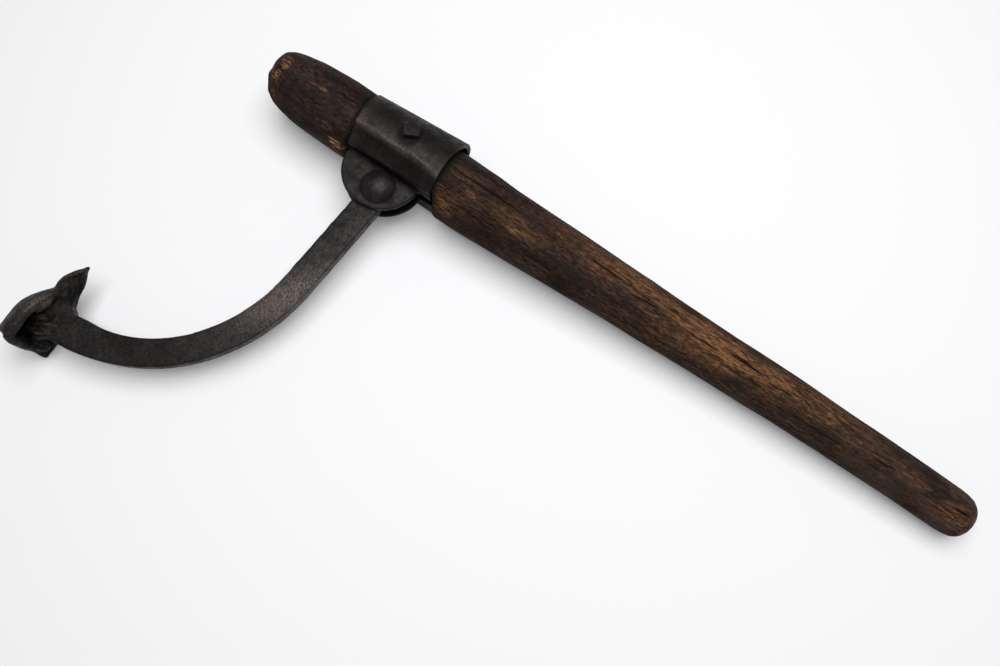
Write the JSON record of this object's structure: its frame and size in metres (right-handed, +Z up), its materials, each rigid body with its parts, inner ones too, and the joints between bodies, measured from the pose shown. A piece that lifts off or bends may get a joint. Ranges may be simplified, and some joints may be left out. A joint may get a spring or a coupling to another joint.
{
  "type": "cant hook",
  "caption": "Old log-turning tool: a tapered wooden handle with an iron collar, and a curved forged hook with a hollow pointed head that swings beside it.",
  "frame": {"origin": "on the floor under the middle of the tool's box, as it lies in the picture", "axes": "+X along the handle from the nose toward the butt, +Y away from the hook, +Z up; the tool lies on the collar's rear edge, the butt and the hook's head"},
  "size_m": [0.7972, 0.3842, 0.0833],
  "materials": {
    "handle_wood": "dry weathered wood, dark brown with orange-brown worn places",
    "collar_iron": "dark old iron, worn to a dull sheen",
    "hook_iron": "dark forged iron with a lighter worn patch",
    "fastener_iron": "dark old iron, slightly brighter on its worn edges"
  },
  "bodies": {
    "shaft": {"handle": "handle_wood", "collar": "collar_iron", "collar_screw": "fastener_iron", "pivot_bolt": "fastener_iron", "pivot_washer": "fastener_iron", "pivot_nut": "fastener_iron"},
    "swing_hook": {"hook": "hook_iron"}
  },
  "joints": [
    {"name": "hook_swing", "type": "hinge", "parent": "shaft", "child": "swing_hook", "pos_m": [-0.19736, 0.10973, 0.03839], "axis": [0.0344, -0.0483, 0.9982], "range_deg": [-80, 90]}
  ]
}
